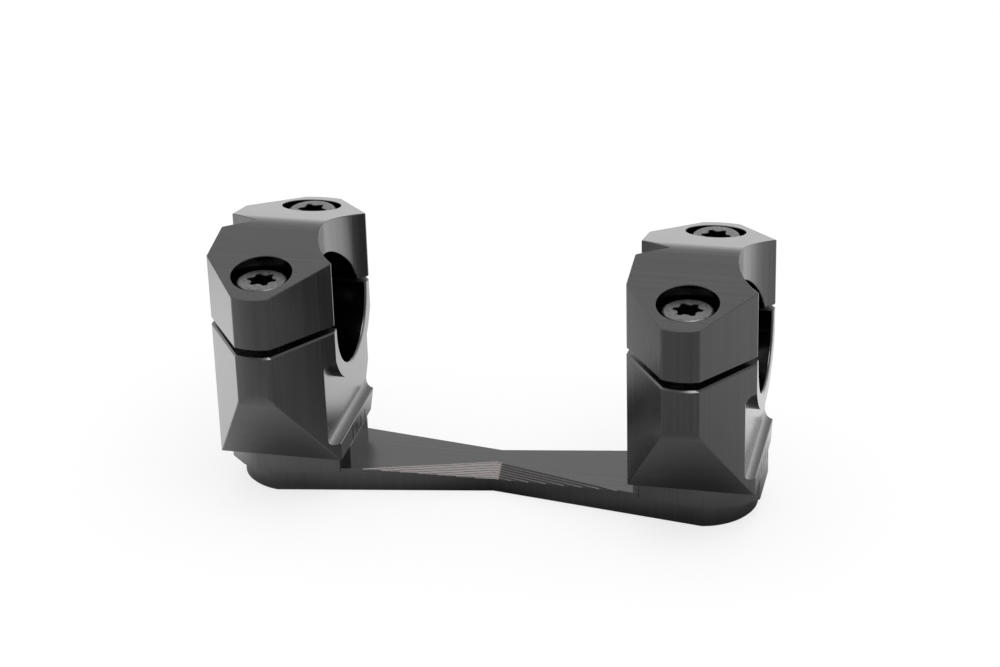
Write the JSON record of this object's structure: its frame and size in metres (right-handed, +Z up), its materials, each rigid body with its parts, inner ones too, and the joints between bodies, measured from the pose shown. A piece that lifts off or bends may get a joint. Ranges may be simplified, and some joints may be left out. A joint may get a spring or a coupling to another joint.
{
  "type": "motorcycle bar riser",
  "caption": "Handlebar riser set: faceted clamp towers with bolted caps, adjustable fore and aft on a waisted bridge plate with raised pads.",
  "frame": {"origin": "middle of the underside of the bridge plate", "axes": "+X along the handlebar to the right, -Y to the front of the pictured view, +Z up"},
  "size_m": [0.1432, 0.0706, 0.0717],
  "materials": {
    "anodised_aluminium": "black anodised, satin, with fine milling lines",
    "screw_steel": "dark zinc plated"
  },
  "bodies": {
    "bridge": {"bridge_plate": "anodised_aluminium"},
    "left_riser": {"left_riser_body": "anodised_aluminium"},
    "left_cap": {"left_clamp_cap": "anodised_aluminium", "left_front_screw": "screw_steel", "left_rear_screw": "screw_steel"},
    "right_riser": {"right_riser_body": "anodised_aluminium"},
    "right_cap": {"right_clamp_cap": "anodised_aluminium", "right_front_screw": "screw_steel", "right_rear_screw": "screw_steel"}
  },
  "joints": [
    {"name": "left_riser_slide", "type": "slide", "parent": "bridge", "child": "left_riser", "axis": [0, 1, 0], "range_m": [0, 0.008]},
    {"name": "right_riser_slide", "type": "slide", "parent": "bridge", "child": "right_riser", "axis": [0, 1, 0], "range_m": [0, 0.008]},
    {"name": "left_cap_lift", "type": "slide", "parent": "left_riser", "child": "left_cap", "axis": [0, 0, 1], "range_m": [0, 0.03]},
    {"name": "right_cap_lift", "type": "slide", "parent": "right_riser", "child": "right_cap", "axis": [0, 0, 1], "range_m": [0, 0.03]}
  ]
}
